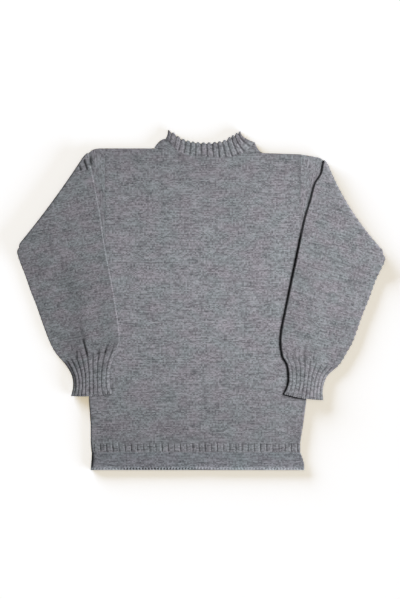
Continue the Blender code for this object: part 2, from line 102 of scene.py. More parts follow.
def along(points, fractions):
    # places at fractions of the length of a smooth curve through the points: a cubic from b to c
    # for each four in a row, whose slope at b is (c - a) / 2 and at c is (d - b) / 2
    p = np.array(points, float)
    p = np.vstack([2 * p[0] - p[1], p, 2 * p[-1] - p[-2]])
    t = np.linspace(0, 1, curveSteps, endpoint=False)[:, None]
    spans = []
    for a, b, c, d in zip(p, p[1:], p[2:], p[3:]):
        square = (2 * a - 5 * b + 4 * c - d) * t ** 2
        cube = (3 * b - 3 * c + d - a) * t ** 3
        spans.append(0.5 * (2 * b + (c - a) * t + square + cube))
    dense = np.vstack(spans + [p[-2:-1]])
    run = np.concatenate([[0], np.cumsum(norm(np.diff(dense, axis=0), axis=1))])
    wanted = np.array(fractions) * run[-1]
    return np.stack([np.interp(wanted, run, dense[:, k]) for k in (0, 1)], axis=-1)


def outside(places, outlines):
    # how far each place lies outside the nearest outline, or 0 inside one
    flat = places.reshape(-1, 2)
    nearest = np.full(len(flat), np.inf)
    for outline in outlines:
        a = np.array(outline, float)
        b = np.roll(a, -1, axis=0)
        edge = b - a
        reach = flat[:, None] - a
        part = np.clip((reach * edge).sum(2) / (edge ** 2).sum(1), 0, 1)
        distance = norm(reach - part[..., None] * edge, axis=2).min(1)
        rise = np.where(edge[:, 1] == 0, 1, edge[:, 1])
        crossing = a[:, 0] + reach[..., 1] / rise * edge[:, 0]
        passes = (a[:, 1] > flat[:, None, 1]) != (b[:, 1] > flat[:, None, 1])
        within = (passes & (flat[:, None, 0] < crossing)).sum(1) % 2 == 1
        nearest = np.minimum(nearest, np.where(within, 0, distance))
    return nearest.reshape(places.shape[:-1])


def troughs(places, lines):
    # depth of soft creases: each falls off as a bell about its line, and fades towards its ends
    total = np.zeros(places.shape[:-1])
    for x0, y0, x1, y1, width, deep in lines:
        start, way = np.array([x0, y0]), np.array([x1 - x0, y1 - y0])
        part = (places - start) @ way / (way @ way)
        ends = smooth((part + 0.15) / 0.4) * smooth((1.15 - part) / 0.4)
        aside = norm(places - start - np.clip(part, 0, 1)[..., None] * way, axis=-1)
        total = total + deep * bell(aside, width) * ends
    return total


def edgeHeight(distance):
    # half the height of a flattened tube at a distance in from its rounded edge
    inset = half - np.minimum(distance, half)
    return np.sqrt(np.maximum(half ** 2 - inset ** 2, 0))


# distances in from a tube's edge, on its outside and in the hollow inside it
edgeSteps = np.array([0, 0.12, 0.35, 0.7, 1.15, 1.75, half])
slotSteps = cloth["thickness"] + np.array([0, 0.03, 0.07, 0.15, 0.25, 0.45, 0.85])
slotTaper = 0.1


def acrossTube(width, edge, middle):
    # distances across rings: close together at both edges, even between; middle holds the even shares
    width = np.asarray(width)[..., None]
    inner = edge[-1] + (width - 2 * edge[-1]) * middle
    low = np.broadcast_to(edge, inner.shape[:-1] + edge.shape)
    high = width - edge[::-1]
    return np.concatenate([low, inner, high], axis=-1)


def roundTube(width, edge, over, under):
    # distances in across a tube, over its upper side in over steps and back under it in under steps,
    # and which of them are on the upper side
    even, few = (np.arange(1, count) / count for count in (over, under))
    top = acrossTube(width, edge, even)
    across = np.concatenate([top, acrossTube(width, edge, few)[..., -2:0:-1]], axis=-1)
    return across, np.arange(across.shape[-1]) < top.shape[-1]


def slotHeight(across, width):
    # half the height of the narrow hollow inside a flattened tube, closed at its edges
    inward = np.minimum(across, width - across)
    return np.clip((inward - cloth["thickness"]) / slotTaper, 0, 1) * cloth["gap"] / 2


def addObject(name, content):
    made = bpy.data.objects.new(name, content)
    bpy.context.scene.collection.objects.link(made)
    return made


hollowRange = (-1.6, 1.15)  # the lightest and darkest that the painted shade and highlight make the wool


def makeWall(name, outer, inner, ring, uv, hollow=0.0):
    # a closed wall between two grids of points, rows by columns, with a UV in metres along the cloth;
    # a ring's last column joins its first. The last argument is painted shade on the wool: 1 in the bottom
    # of a groove, 0 on open cloth, and below 0 a painted highlight on a knot that catches the light
    rows, columns = outer.shape[:2]
    count = rows * columns
    points = np.concatenate([outer.reshape(-1, 3), inner.reshape(-1, 3)]) * mm
    number = np.arange(count).reshape(rows, columns)
    if ring:
        number = np.concatenate([number, number[:, :1]], axis=1)
    a, b, c, d = number[:-1, :-1], number[:-1, 1:], number[1:, 1:], number[1:, :-1]
    over = np.stack([a, b, c, d], axis=-1).reshape(-1, 4)
    faces = [over, over[:, ::-1] + count]
    rims = [number[0], number[-1, ::-1]] + ([] if ring else [number[::-1, 0], number[:, -1]])
    faces += [np.stack([rim[1:], rim[:-1], rim[:-1] + count, rim[1:] + count], axis=-1) for rim in rims]
    faces = np.concatenate(faces)
    p = points[faces]
    volume = np.einsum("ij,ij->i", p[:, 0], np.cross(p[:, 1], p[:, 2]) + np.cross(p[:, 2], p[:, 3])).sum()
    if volume < 0:
        faces = faces[:, ::-1]
    mesh = bpy.data.meshes.new(name)
    mesh.vertices.add(len(points))
    mesh.vertices.foreach_set("co", points.astype(np.float32).ravel())
    mesh.loops.add(faces.size)
    mesh.loops.foreach_set("vertex_index", faces.astype(np.int32).ravel())
    mesh.polygons.add(len(faces))
    mesh.polygons.foreach_set("loop_start", np.arange(0, faces.size, 4, dtype=np.int32))
    mesh.update(calc_edges=True)
    both = np.concatenate([uv.reshape(-1, 2), uv.reshape(-1, 2)]) * mm
    layer = mesh.uv_layers.new(name="cloth")
    layer.data.foreach_set("uv", both[faces.ravel()].astype(np.float32).ravel())
    # painted shade and highlight, clipped and kept on each point for the wool's colour
    deep = np.broadcast_to(np.clip(hollow, *hollowRange), (rows, columns)).ravel()
    mesh.attributes.new("hollow", "FLOAT", "POINT").data.foreach_set(
        "value", np.concatenate([deep, deep]).astype(np.float32))
    mesh.shade_smooth()
    mesh.set_sharp_from_angle(angle=sharpAngle)
    mesh.validate()
    return addObject(name, mesh)


# Shader helpers

def mathNode(operation):
    # a method of a wire that adds one Math node
    def method(self, *others):
        return self.bench.node("ShaderNodeMath", {"operation": operation}, [self, *others])
    return method


class Wire:
    # a socket's value in a sum: each operator adds its Math node
    def __init__(self, bench, socket):
        self.bench = bench
        self.socket = socket

    def __rsub__(self, other):
        return self.bench.node("ShaderNodeMath", {"operation": "SUBTRACT"}, [other, self])

    __add__ = __radd__ = mathNode("ADD")
    __sub__ = mathNode("SUBTRACT")
    __mul__ = __rmul__ = mathNode("MULTIPLY")
    __truediv__ = mathNode("DIVIDE")
    __pow__ = mathNode("POWER")
    __abs__ = mathNode("ABSOLUTE")
    fract = mathNode("FRACT")
    floor = mathNode("FLOOR")
    sine = mathNode("SINE")

    def clamp(self):
        return self.bench.node("ShaderNodeClamp", {}, [self, 0.0, 1.0])


class Bench:
    # a material under work: node() makes any node, with its settings first and then its sockets
    def __init__(self, name):
        self.material = bpy.data.materials.new(name)
        self.material.use_nodes = True
        self.tree = self.material.node_tree
        self.shader = self.tree.nodes["Principled BSDF"]

    def node(self, kind, settings, sockets, output=0):
        made = self.tree.nodes.new(kind)
        for key, value in settings.items():
            setattr(made, key, value)
        named = sockets.items() if isinstance(sockets, dict) else enumerate(sockets)
        for key, value in named:
            self.feed(made.inputs[key], value)
        return Wire(self, made.outputs[output])

    def feed(self, socket, value):
        if isinstance(value, Wire):
            self.tree.links.new(value.socket, socket)
        else:
            socket.default_value = value

    def set(self, values):
        # sets the material's own sockets
        for key, value in values.items():
            self.shader.inputs[key].default_value = value

    def place(self, u, v, w):
        return self.node("ShaderNodeCombineXYZ", {}, [u, v, w])

    def noise(self, u, v, w, detail, roughness):
        return self.node("ShaderNodeTexNoise", {"noise_dimensions": "3D"},
                         {"Vector": self.place(u, v, w), "Scale": 1.0, "Detail": detail,
                          "Roughness": roughness})

    def blend(self, factor, low, high, mode="MIX"):
        return self.node("ShaderNodeMix", {"data_type": "RGBA", "blend_type": mode},
                         {0: factor, 6: low, 7: high}, output=2)


woolLook = {
    "dark": (0.075, 0.076, 0.0845, 1),  # the darkest and lightest fibres of the blend
    "light": (0.430, 0.436, 0.470, 1),
    "warm": (1.040, 0.983, 1.002, 1),  # patches of warmer and cooler grey, and their size
    "cool": (0.965, 1.017, 0.998, 1),
    "hue": (50.0, 38.0),
    "streak": 32.0,  # lengths along a course
    "fleck": 4.5,
    "patch": 42.0,
    "streakRows": 0.8,  # how fast the streaks and flecks change from course to course
    "fleckRows": 1.83,
    "fibre": (2.2, 3.1),  # how many to a millimetre, across and along
    "fuzz": 1.3,
    "weights": (0.78, 0.2, 0.3, 0.6, 0.51),  # of streak, fleck, patch, fibre and each stitch's own grey
    "stitchTopLight": 0.16,  # painted highlight: how much lighter the raised top of a stitch is painted
    "slant": 0.62,  # rise of a stitch's legs, in courses
    "fuzzHeight": 0.35,
    "stitchDepth": 0.9,
    "hollow": 0.8,  # how much darker painted shade makes the bottom of a groove
    "middle": -5.0,  # where along the cloth it is lightest, and how far its ends are
    "reach": 330.0,
    "surface": {"Roughness": 0.93, "Specular IOR Level": 0.2, "Sheen Weight": 0.12, "Sheen Roughness": 0.5},
}


def wool(name, shade, seed, stitch=1.0, ends=0.0, hues=3.4, tint=(1, 1, 1)):
    # heathered wool: streaks and flecks run along the courses, and stitches stand up as V shapes.
    # stitch height = leg profile across the wale * rounded step along it, shifted down the V;
    # shade darkens the whole cloth and tint colours it, ends is how much darker it is far above
    # and below its middle, and hues how far its patches of warmer and cooler grey stand apart
    bench = Bench(name)
    look = woolLook
    cord = bench.node("ShaderNodeUVMap", {"uv_map": "cloth"}, [])
    split = bench.tree.nodes.new("ShaderNodeSeparateXYZ")
    bench.feed(split.inputs[0], cord)
    u, v = (Wire(bench, split.outputs[k]) * (1 / mm) for k in (0, 1))
    column = u / cloth["wale"]
    middle = abs(column.fract() * 2 - 1)
    row = v / cloth["course"] + middle * look["slant"]
    leg = 1 - (middle * 2 - 1) ** 2
    step = (row.fract() * np.pi).sine()
    height = (leg ** 0.5) * (step * 0.6 + 0.4)
    course = row.floor()
    rows = v / cloth["course"] * look["streakRows"]
    streak = bench.noise(u / look["streak"], rows, seed + 3.1, 1.0, 0.5)
    fleck = bench.noise(u / look["fleck"], course * look["fleckRows"], seed + 7.7, 2.0, 0.65)
    patch = bench.noise(u / look["patch"], v / look["patch"] * 2, seed + 11.3, 2.0, 0.5)
    fibre = bench.noise(u * look["fibre"][0], v * look["fibre"][1], seed, 2.0, 0.6)
    grain = bench.node("ShaderNodeTexWhiteNoise", {"noise_dimensions": "3D"},
                       [bench.place(column.floor(), course, seed)])
    tone = 0.5
    for noise, weight in zip((streak, fleck, patch, fibre, grain), look["weights"]):
        tone = tone + (noise - 0.5) * weight
    # painted highlight on the raised top of each stitch, darker between stitches
    tone = tone + (height - 0.6) * look["stitchTopLight"]
    colour = bench.blend(tone.clamp(), look["dark"], look["light"])
    hue = bench.noise(u / look["hue"][0], v / look["hue"][1], seed + 20.0, 2.0, 0.5)
    hue = ((hue - 0.5) * hues + 0.5).clamp()
    colour = bench.blend(1.0, colour, bench.blend(hue, look["warm"], look["cool"]), "MULTIPLY")
    # painted shade and highlight from each point darken or lighten the colour
    hollow = bench.node("ShaderNodeAttribute", {"attribute_name": "hollow"}, [], output=2)
    fade = 1 - ((v - look["middle"]) / look["reach"]) ** 2 * ends
    depth = (1 - hollow * look["hollow"]) * fade * shade
    depths = bench.node("ShaderNodeCombineColor", {}, [depth * part for part in tint])
    colour = bench.blend(1.0, colour, depths, "MULTIPLY")
    fuzz = bench.noise(u * look["fuzz"], v * look["fuzz"], seed + 5.0, 3.0, 0.7)
    relief = height * stitch + fuzz * look["fuzzHeight"]
    bump = bench.node("ShaderNodeBump", {},
                      {"Strength": 1.0, "Distance": look["stitchDepth"] * mm, "Height": relief})
    bench.feed(bench.shader.inputs["Base Color"], colour)
    bench.feed(bench.shader.inputs["Normal"], bump)
    bench.set(look["surface"])
    return bench.material


def finish(piece, material, nodeName):
    # every piece stands for one solid, rides with the whole jumper and takes its wool
    piece.data.materials.append(material)
    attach(piece, "root")
    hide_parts(nodeName)


# Body

body = {
    "ribsTop": -315,
    "underarm": 111,
    "hemRibs": 34,
    "hemRibDepth": 2.0,
    "cell": 3.2,  # spacing of the front's points, and of the back's
    "backCell": 6.0,
    "armholeTopLeft": (-212.95, 337.2),
    "armholeTopRight": (220.95, 324.0),
    "shoulderLeft": (-105.0, 337.2),
    "shoulderRight": (139.0, 327.0),
    "armholeShare": (0.85, 0.84),  # of the cloth's thickness, left at the left and right armhole seams
    "neckShare": 0.94,  # the same at the neck's seam
    "seamDark": (0.1, 0.28, 3.6),  # shadow along the armholes, the right one's gain, and width
    "seamGain": (170, 90),  # from what height, and over what height, it gains
    "sideDark": (0.6, 0.8, 2.2),  # shadow along the left side: strength, place and width
    "uneven": 0.12,
    "waves": [  # wave length across, its turn with y, depth
        (173.0, 0.0042, 0.20),
        (97.0, -0.0065, 0.14),
    ],
    "creases": [  # from x, y, to x, y, width, depth
        (166, -177, 168, -253, 4.0, 0.35),
        (-60, 250, -40, 60, 22.0, 0.25),
        (90, 240, 120, 20, 26.0, 0.25),
        (-150, -200, -120, -300, 20.0, 0.25),
        (111, 321, 148, 319, 1.0, -0.4),
    ],
    "shades": [  # painted shadow beside a piece that lies on it: the piece's outline, and the shadow's width and strength
        ([(274, 314), (266, 281), (253, 260), (242, 224), (228, 178), (211, 94), (194, 9), (179, -65),
          (177, -99), (181, -124), (192, -144), (195, -175), (191, -193), (184, -207), (207, -215),
          (271, -221), (300, -120), (400, 100)], 3.5, 1.15),
        ([(272, 308), (266, 281), (290, 290)], 6.0, 1.1),
        ([(-200, -208), (-288, -212), (-280, -190), (-202, -190)], 2.0, 0.85),
    ],
}
bodySides = np.array([  # y, left x, right x
    (-337, -242.5, 220.5),
    (-315, -244.5, 220.5),
    (-275, -244.5, 227.0),
    (-222, -248.5, 234.0),
    (-155, -249.5, 235.0),
    (-88, -248.5, 237.5),
    (-25, -247.5, 239.0),
    (23, -246.0, 238.5),
    (60, -238.5, 233.0),
    (90, -225.0, 225.0),
    (111, -212.95, 220.95),
    (340, -212.95, 220.95),
])
weltSides = np.array([
    (-376.5, -244.5, 229.5),
    (-362, -243.5, 229.0),
    (-350, -242.5, 225.5),
    (-337, -242.0, 220.5),
])
neck = {
    "left": (-78.0, 359.0),
    "right": (119.0, 351.0),
    "power": 3.5,
    "frontDip": 38.0,
    "backDip": 22.0,
    "gussetPart": 2 / 15,  # share of the seam that a gusset takes up at each side
    "seamGap": 0.15,
    "seamPoints": 45,
}
knitGap = 0.03  # between pieces that are knitted on, with no seam


def neckSeam(part, dip):
    # the line between the neck's corners, less dip * (1 - |2 part - 1| ^ power)
    part = np.asarray(part, float)
    left, right = np.array(neck["left"]), np.array(neck["right"])
    place = left + (right - left) * part[..., None]
    place[..., 1] -= dip * (1 - np.abs(2 * part - 1) ** neck["power"])
    return place


def topEdge(dip):
    # shoulders, the gussets' seams and the neck, from the left armhole to the right one
    parts = np.linspace(neck["gussetPart"], 1 - neck["gussetPart"], neck["seamPoints"])
    seam = neckSeam(parts, dip) - (0, neck["seamGap"])
    ends = (body["armholeTopLeft"], body["shoulderLeft"], body["shoulderRight"], body["armholeTopRight"])
    corners = np.vstack([ends[:2], seam, ends[2:]])
    corners[[1, -2], 1] -= 0.1
    return corners


sideInsets = np.array([0, 0.1, 0.3, 0.6, 1.0, 1.6, 2.5, 4.0])
seamInsets = np.array([0, 0.3, 0.7, 1.2, 1.9, 2.8, 4.2])
seamWidth = 2.8


def acrossPanel(left, right, middle):
    # places across a panel: close together at its sides, and at even shares between
    left, right = np.asarray(left)[..., None], np.asarray(right)[..., None]
    inset = sideInsets[-1]
    inner = left + inset + (right - left - 2 * inset) * middle
    return np.concatenate([left + sideInsets, inner, right - sideInsets[::-1]], axis=-1)


def foldShare(inset):
    # share of the cloth's thickness left where the body folds round its side
    return np.clip((edgeHeight(inset) - cloth["gap"] / 2) / cloth["thickness"], 0.04, 1)


def seamShare(inset, left):
    # the same at a seam, where the cloth dips to a share that is left
    return left + (1 - left) * smooth(inset / seamWidth)


def acrossRows(sides, leftY, rightY, middle):
    # places across rows whose ends lie on a panel's two sides
    return acrossPanel(np.interp(leftY, sides[:, 0], sides[:, 1]),
                       np.interp(rightY, sides[:, 0], sides[:, 2]), middle)


def sideDistance(x):
    return np.minimum(x - x[:, :1], x[:, -1:] - x)


def sideShadow(x, strength, place, width):
    # painted shadow beside the left side of a panel
    return strength * bell(x - x[:, :1] - place, width)


def bodyLayer(name, upper, x, y, share, sunk, hollow=0.0):
    # one cloth of the body: the front lies over the back, and each is rounded on its outer side
    if upper:
        low = np.full(x.shape, upperFloor)
        high = low + cloth["thickness"] * share - sunk
    else:
        high = np.full(x.shape, cloth["thickness"])
        low = high - cloth["thickness"] * share
    return makeWall(name, np.dstack([x, y, high]), np.dstack([x, y, low]), False, np.dstack([x, y]), hollow)


def bodyPanel(name, upper, dip, cell):
    # rows run level up to the underarm, then fan out to the shoulders and the neck.
    # height = cloth * share at the edges - waves across - creases - a slight unevenness
    corners = topEdge(dip)
    left, right = corners[0, 0], corners[-1, 0]
    even = np.linspace(0, 1, int((right - left) / cell))
    kinks = (corners[1:-1, 0] - left) / (right - left)
    middle = np.unique(np.concatenate([even[1:-1], kinks[[0, 1, -2, -1]]]))
    tops = acrossPanel(left, right, middle)
    topY = np.interp(tops, corners[:, 0], corners[:, 1])
    bottom = body["ribsTop"] + knitGap
    low = np.concatenate([bottom + seamInsets, np.arange(bottom + 6, body["underarm"], cell)])
    high = np.linspace(0, 1, int((topY.max() - body["underarm"]) / cell))[1:-1, None]
    fan = body["underarm"] + high * (topY - seamInsets[-1] - body["underarm"])
    y = np.vstack([np.repeat(low[:, None], len(tops), axis=1), fan, topY - seamInsets[::-1, None]])
    x = acrossRows(bodySides, y[:, 0], y[:, -1], middle)
    fromSide, fromTop = sideDistance(x), topY - y
    inArmhole = (y[:, :1] > body["underarm"] - 2) & upper
    onLeft = x < 0
    armhole = seamShare(fromSide, np.where(onLeft, *body["armholeShare"]))
    share = np.where(inArmhole, armhole, foldShare(fromSide))
    onShoulder = (tops <= body["shoulderLeft"][0]) | (tops >= body["shoulderRight"][0])
    neckline = seamShare(fromTop, body["neckShare"] if upper else 1)
    share = np.minimum(share, np.where(onShoulder, foldShare(fromTop), neckline))
    sunk = body["uneven"] * (1 + ripples(x, y, 11, 18, 60, 1.6))
    sunk = sunk + troughs(np.dstack([x, y]), body["creases"])
    for length, turn, deep in body["waves"]:
        sunk = sunk + deep * (1 + np.sin(2 * np.pi * x / length + turn * y))
    clear = smooth(fromSide / 12) * smooth(fromTop / 10)
    # painted shadow along the armhole seams, down the left side, and beside the right sleeve and the cuffs
    # that lie on the front
    dark, gain, width = body["seamDark"]
    start, run = body["seamGain"]
    hollow = (dark + gain * smooth((y - start) / run) * ~onLeft) * bell(fromSide, width) * inArmhole
    hollow = hollow + sideShadow(x, *body["sideDark"]) * (1 - inArmhole) * upper
    for outline, width, strength in body["shades"] if upper else []:
        hollow = np.maximum(hollow, strength * bell(outside(np.dstack([x, y]), [outline]), width))
    return bodyLayer(name, upper, x, y, share, sunk * clear, hollow)


print("body")
wools = {
    "body": wool("body_wool", 0.97, 0.0, ends=0.18),
    "welt": wool("welt_wool", 0.78, 30.0, tint=(0.985, 1.035, 1.045)),
    "collar": wool("collar_wool", 0.82, 60.0, 0.8),
    "rib": wool("rib_wool", 0.88, 40.0, 0.8),
    # the sleeves take darker copies of the same wool, the left one darkest: painted shade for how each
    # sleeve lies to the light
    "left": wool("sleeve_wool_left", 0.82, 80.0, hues=4.4),
    "right": wool("sleeve_wool_right", 0.86, 120.0, hues=4.6),
}
front = bodyPanel("front_cloth", True, neck["frontDip"], body["cell"])
back = bodyPanel("back_cloth", False, neck["backDip"], body["backCell"])
finish(front, wools["body"], "front")
finish(back, wools["body"], "back")


# Hem: a band of short ribs over a plain welt, whose front and back part at the side vents

hem = {
    "top": -337,  # of the welt, where the ribs start
    "bottom": -376.5,
    "ribRows": [0, 0.3, 0.8, 1.5, 2.5, 4, 6, 8, 10, 12, 14, 16, 17.5, 19, 20, 20.8, 21.4, 21.7],
    "edgeRows": [0, 0.15, 0.4, 0.8, 1.3, 1.9, 2.6, 3.5, 4.6],
    "ribColumns": 12,  # points across one rib
    "ribWidth": 0.085,  # of its groove, as a part of the rib
    "ribWeakest": 0.55,
    # painted shade in each rib's groove
    "ribDark": 0.75,
    "ribLit": (0.3, 0.22, 0.09),  # light beside the groove: strength, place and width
    "ribSideDark": (0.9, 1.6, 3.0),  # shadow along the left side: strength, place and width
    "columns": 558,  # points along the edge
    "backColumns": 160,
    "beadPitch": 6.8,  # of the knots of the cast-on edge, and their height
    "beadSize": 1.5,
    "beadOut": 0.9,  # how far they stand out
    "lowered": 1.8,  # how far the middle of the edge rides up
    "dotDark": (4.2, 2.9, 1.7),  # shadow between knots: strength, distance from the edge, width
    "edgeLit": [  # light between knots and on a knot, distance from the edge, width
        (0.3, 1.6, 2.7, 1.9),
        (0.8, 0.8, 5.4, 1.6),
        (1.7, 1.7, 0.0, 1.5),
    ],
    "ventDark": (1.3, 2.0, 3.8),  # shadow along the left vent: strength, place and width
}


def ribGroove(place, width):
    # part of the depth across one rib of width 1: a V with a soft bottom at its middle
    return bell(place - 0.5, width)


def hemRibs(name, upper):
    # depth = V groove at each rib * a soft start and end * its own strength
    ribs = body["hemRibs"]
    count = ribs * (hem["ribColumns"] if upper else 2)
    low, high = hem["top"] + knitGap, body["ribsTop"] - knitGap
    y = np.array(hem["ribRows"])
    y = low + y / y[-1] * (high - low)
    x = acrossRows(bodySides, y, y, np.arange(1, count) / count)
    y = np.repeat(y[:, None], x.shape[1], axis=1)
    share = foldShare(sideDistance(x))
    if not upper:
        return bodyLayer(name, upper, x, y, share, 0)
    rib = (x - x[:, :1]) / (x[:, -1:] - x[:, :1]) * ribs
    number = np.clip(rib.astype(int), 0, ribs - 1)
    strength = np.random.RandomState(5).uniform(hem["ribWeakest"], 1.0, ribs)[number]
    strength = strength * smooth((y - low) / 3) * smooth((high - y) / 5)
    groove = ribGroove(rib % 1, hem["ribWidth"]) * strength
    # painted shade in each groove, a painted highlight beside it, and painted shadow along the left side
    light, place, width = hem["ribLit"]
    hollow = hem["ribDark"] * groove - light * ribGroove((rib + place) % 1, width) * strength
    hollow = hollow + sideShadow(x, *hem["ribSideDark"])
    return bodyLayer(name, upper, x, y, share, body["hemRibDepth"] * groove, hollow)


def welt(name, upper):
    # plain knitting down to a knotted cast-on edge, whose knots sin(pi x / pitch)^2 push it out and up
    count = hem["columns"] if upper else hem["backColumns"]
    low, high = hem["bottom"], hem["top"] - knitGap
    tall = high - low
    even = np.linspace(6.5, tall - 2, 12)
    y = low + np.concatenate([hem["edgeRows"], even, [tall - 1, tall - 0.4, tall]])
    x = acrossRows(weltSides, y, y, np.arange(1, count) / count)
    y = np.repeat(y[:, None], x.shape[1], axis=1)
    fromSide, fromEdge = sideDistance(x), y - low
    share = np.minimum(foldShare(fromSide), foldShare(fromEdge * 1.8))
    if not upper:
        return bodyLayer(name, upper, x, y, share, 0)
    bead = np.sin(np.pi * x / hem["beadPitch"]) ** 2
    here = np.maximum(bell(x[0] + 90, 75), smooth(ripples(x[0], 0 * x[0], 21, 60, 200) - 0.4))
    strength = 0.4 + 0.6 * here  # of the knots, which are plainest left of the middle
    near = bell(fromEdge, 2.4) * smooth(fromSide / 4)
    sunk = (0.9 - bead) * hem["beadSize"] * strength * near * share
    sunk += (0.35 + 0.4 * (1 - bead) * strength) * bell(fromEdge - 3.6, 1.4) * smooth(fromSide / 4)
    y = y - (bead - 0.6) * hem["beadOut"] * strength * near
    y = y + hem["lowered"] * bell(x + 6, 24) * bell(fromEdge, 12)
    sunk = sunk + 0.1 * (1 + ripples(x, y, 12, 18, 60)) * smooth(fromEdge / 8)
    # painted shadow between the knots, painted highlights on the knots and along the edge, and painted
    # shadow along the left vent
    dark, place, width = hem["dotDark"]
    hollow = dark * (1 - bead) * strength ** 2 * bell(fromEdge - place, width)
    for between, onKnot, place, width in hem["edgeLit"]:
        hollow = hollow - (between + (onKnot - between) * bead) * bell(fromEdge - place, width)
    return bodyLayer(name, upper, x, y, share, sunk, hollow + sideShadow(x, *hem["ventDark"]))


print("hem")
bands = [
    (hemRibs, "hem_ribs", wools["body"], "rib_wool", (0.466, 0.0217)),
    (welt, "welt", wools["welt"], "body_wool", (0.474, 0.0394)),
]
for make, band, material, slotName, flat in bands:
    front = make(band + "_front_cloth", True)
    back = make(band + "_back_cloth", False)
    finish(front, material, band + "_front")
    finish(back, material, band + "_back")


# Neck gussets and collar

collar = {
    "left": (-73.0, 377.0),
    "right": (88.0, 374.5),
    "power": 2.4,
    "dip": 25.2,
    "tipLifts": [  # where the rim rises: place along it, width, height
        (0.955, 0.04, 3.3),
        (0.87, 0.05, 3.3),
        (0.075, 0.07, 3.9),
    ],
    "flare": 2.3,
    "turn": [  # a rib's place across: even, along the rim, along the seam
        (0, 0, 0),
        (0.2, 0.207, 0.160),
        (0.4, 0.411, 0.362),
        (0.6, 0.645, 0.573),
        (0.8, 0.850, 0.790),
        (1, 1, 1),
    ],
    "ribs": 15,
    "ribColumns": 14,
    "ribRaise": 0.3,
    "ribDepth": 1.7,
    "scallop": 5.0,
    "height": 28.0,
    "rimStart": 0.93,  # from this share of the height the wall thins to its rim
    # painted shade in the bottom of each rib's groove
    "ribDark": 0.56,
    "sideDark": (0.5, 2, 3),  # shadow along the left side: strength, place and width
    "underColumns": 60,
}


def neckCollar(name):
    # a flattened ribbed tube from the neck seam to a rim on the line between its tips, less
    # dip * (1 - |2 part - 1| ^ power); each rib end stands out as a small scallop
    span = neck["right"][0] - neck["left"][0]
    step = np.array([0, 0.01, 0.03, 0.07, 0.13, 0.2, 0.28, 0.36, 0.44, 0.52, 0.6, 0.68, 0.76, 0.83, 0.89,
                     0.935, 0.965, 0.985, 1])[:, None]
    left, right = np.array(collar["left"]), np.array(collar["right"])
    grids = []
    for edge in (edgeSteps, slotSteps):
        across, isOver = roundTube(span, edge, collar["ribs"] * collar["ribColumns"], collar["underColumns"])
        even, rimTurn, seamTurn = np.array(collar["turn"]).T
        rimPart, seamPart = (np.interp(across / span, even, turned) for turned in (rimTurn, seamTurn))
        rib = np.clip((across - half) / (span - 2 * half), 0, 1) * collar["ribs"]
        inRibs = smooth(np.minimum(rib, collar["ribs"] - rib) / 0.3)
        groove = ribGroove(rib % 1, 0.15) * inRibs
        dips = np.where(isOver, neck["frontDip"], neck["backDip"])
        seam = neckSeam(seamPart, dips)
        rim = left + (right - left) * rimPart[:, None]
        rim[:, 1] -= collar["dip"] * (1 - np.abs(2 * rimPart - 1) ** collar["power"])
        for tip, tipWidth, tipHeight in collar["tipLifts"]:
            rim[:, 1] += tipHeight * bell(rimPart - tip, tipWidth)
        flare = 1 + (collar["flare"] - 1) * np.abs(2 * across / span - 1) ** 3
        x = rim[:, 0] + (seam[:, 0] - rim[:, 0]) * (1 - step) ** flare
        y = seam[:, 1] + (rim[:, 1] - seam[:, 1]) * step
        y = y - collar["scallop"] * ribGroove(rib % 1, 0.2) * inRibs * smooth((step - 0.8) / 0.2)
        if edge is edgeSteps:
            height = edgeHeight(np.minimum(across, span - across)) + 0 * step
            relief = collar["ribRaise"] * inRibs - collar["ribDepth"] * groove
            atRim = smooth((step - collar["rimStart"]) / (1 - collar["rimStart"]))
            fade = smooth((step + 0.02) / 0.08) * (1 - 0.35 * atRim)
            height = height + np.where(isOver, relief, 0.0) * fade
            thinned = 1 - 0.45 * atRim - 0.06 * (1 - smooth(step / 0.05))
            height = height * np.where(isOver, thinned, 1)
            uv = np.dstack(np.broadcast_arrays(across, step * collar["height"]))
        else:
            height = slotHeight(across, span) + 0 * step
        grids.append(np.dstack([x, y, half + np.where(isOver, height, -height)]))
    # painted shade in the grooves and painted shadow along the left side, on the side that shows
    dark, place, width = collar["sideDark"]
    hollow = collar["ribDark"] * groove * fade + dark * bell(across - place, width)
    return makeWall(name, grids[0], grids[1], True, uv, hollow * isOver)


gusset = {
    "bulge": {"left": 5.0, "right": -6.0},  # how far its fold bows up
    "flat": {"left": (0.062, 0.036), "right": (0.050, 0.036)},
    "area": {"left": 0.0012, "right": 0.0007},
    "start": 0.05,  # share of the way from the panel to the collar at its first row
    "rows": 14,
    "fold": [  # share in from the fold, the same in the hollow, half height
        *((share, share, 2.5) for share in (0.9, 0.75, 0.6, 0.45, 0.3)),
        (0.2, 0.22, 2.5),
        (0.1, 0.17, 2.45),
        (0.06, 0.15, 2.2),
        (0.03, 0.14, 1.7),
        (0.01, 0.13, 1.0),
        (0, 0.12, 0),
    ],
}


